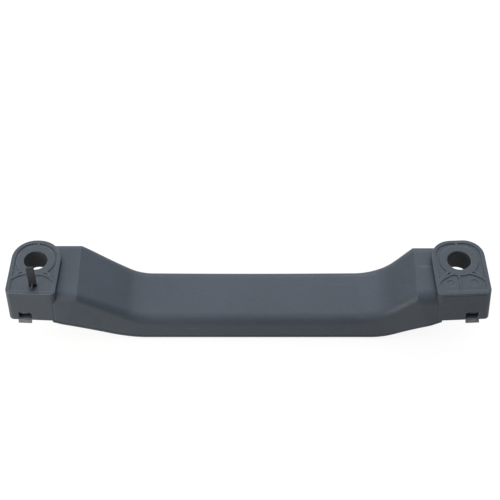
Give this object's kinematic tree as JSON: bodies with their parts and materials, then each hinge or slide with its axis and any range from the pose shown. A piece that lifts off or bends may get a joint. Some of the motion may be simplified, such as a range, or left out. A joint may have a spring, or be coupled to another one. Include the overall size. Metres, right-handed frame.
{
  "type": "car door pull handle",
  "caption": "Bow-shaped interior pull handle of a car door: hollow slate-grey grip between two D-shaped feet with through bores.",
  "frame": {"origin": "on the mounting plane, midway between the two bore axes", "axes": "+X along the grip towards the foot with the centre rib, +Z out of the mounting faces towards the door, +Y across the grip towards the rounded ends of the feet"},
  "size_m": [0.2821, 0.0426, 0.0635],
  "materials": {
    "grip_shell": "fine grained satin",
    "cover_shell": "fine grained satin",
    "foot_plastic": "moulded matte",
    "insert_plastic": "moulded matte",
    "blade_plastic": "moulded matte",
    "beam_steel": "rolled strip, zinc plated",
    "spring_steel": "dark phosphated spring strip",
    "screw_steel": "zinc plated"
  },
  "bodies": {
    "root": {"grip_body": "grip_shell", "front_cover": "cover_shell", "core_beam": "beam_steel", "left_foot": "foot_plastic", "right_foot": "foot_plastic", "left_bore_sleeve": "insert_plastic", "right_bore_sleeve": "insert_plastic", "left_cover_hook": "spring_steel", "right_cover_hook": "spring_steel", "locating_blade": "blade_plastic", "left_beam_screws": "screw_steel", "right_beam_screws": "screw_steel", "cover_push_nuts": "screw_steel", "beam_spacers": "insert_plastic"}
  },
  "joints": []
}
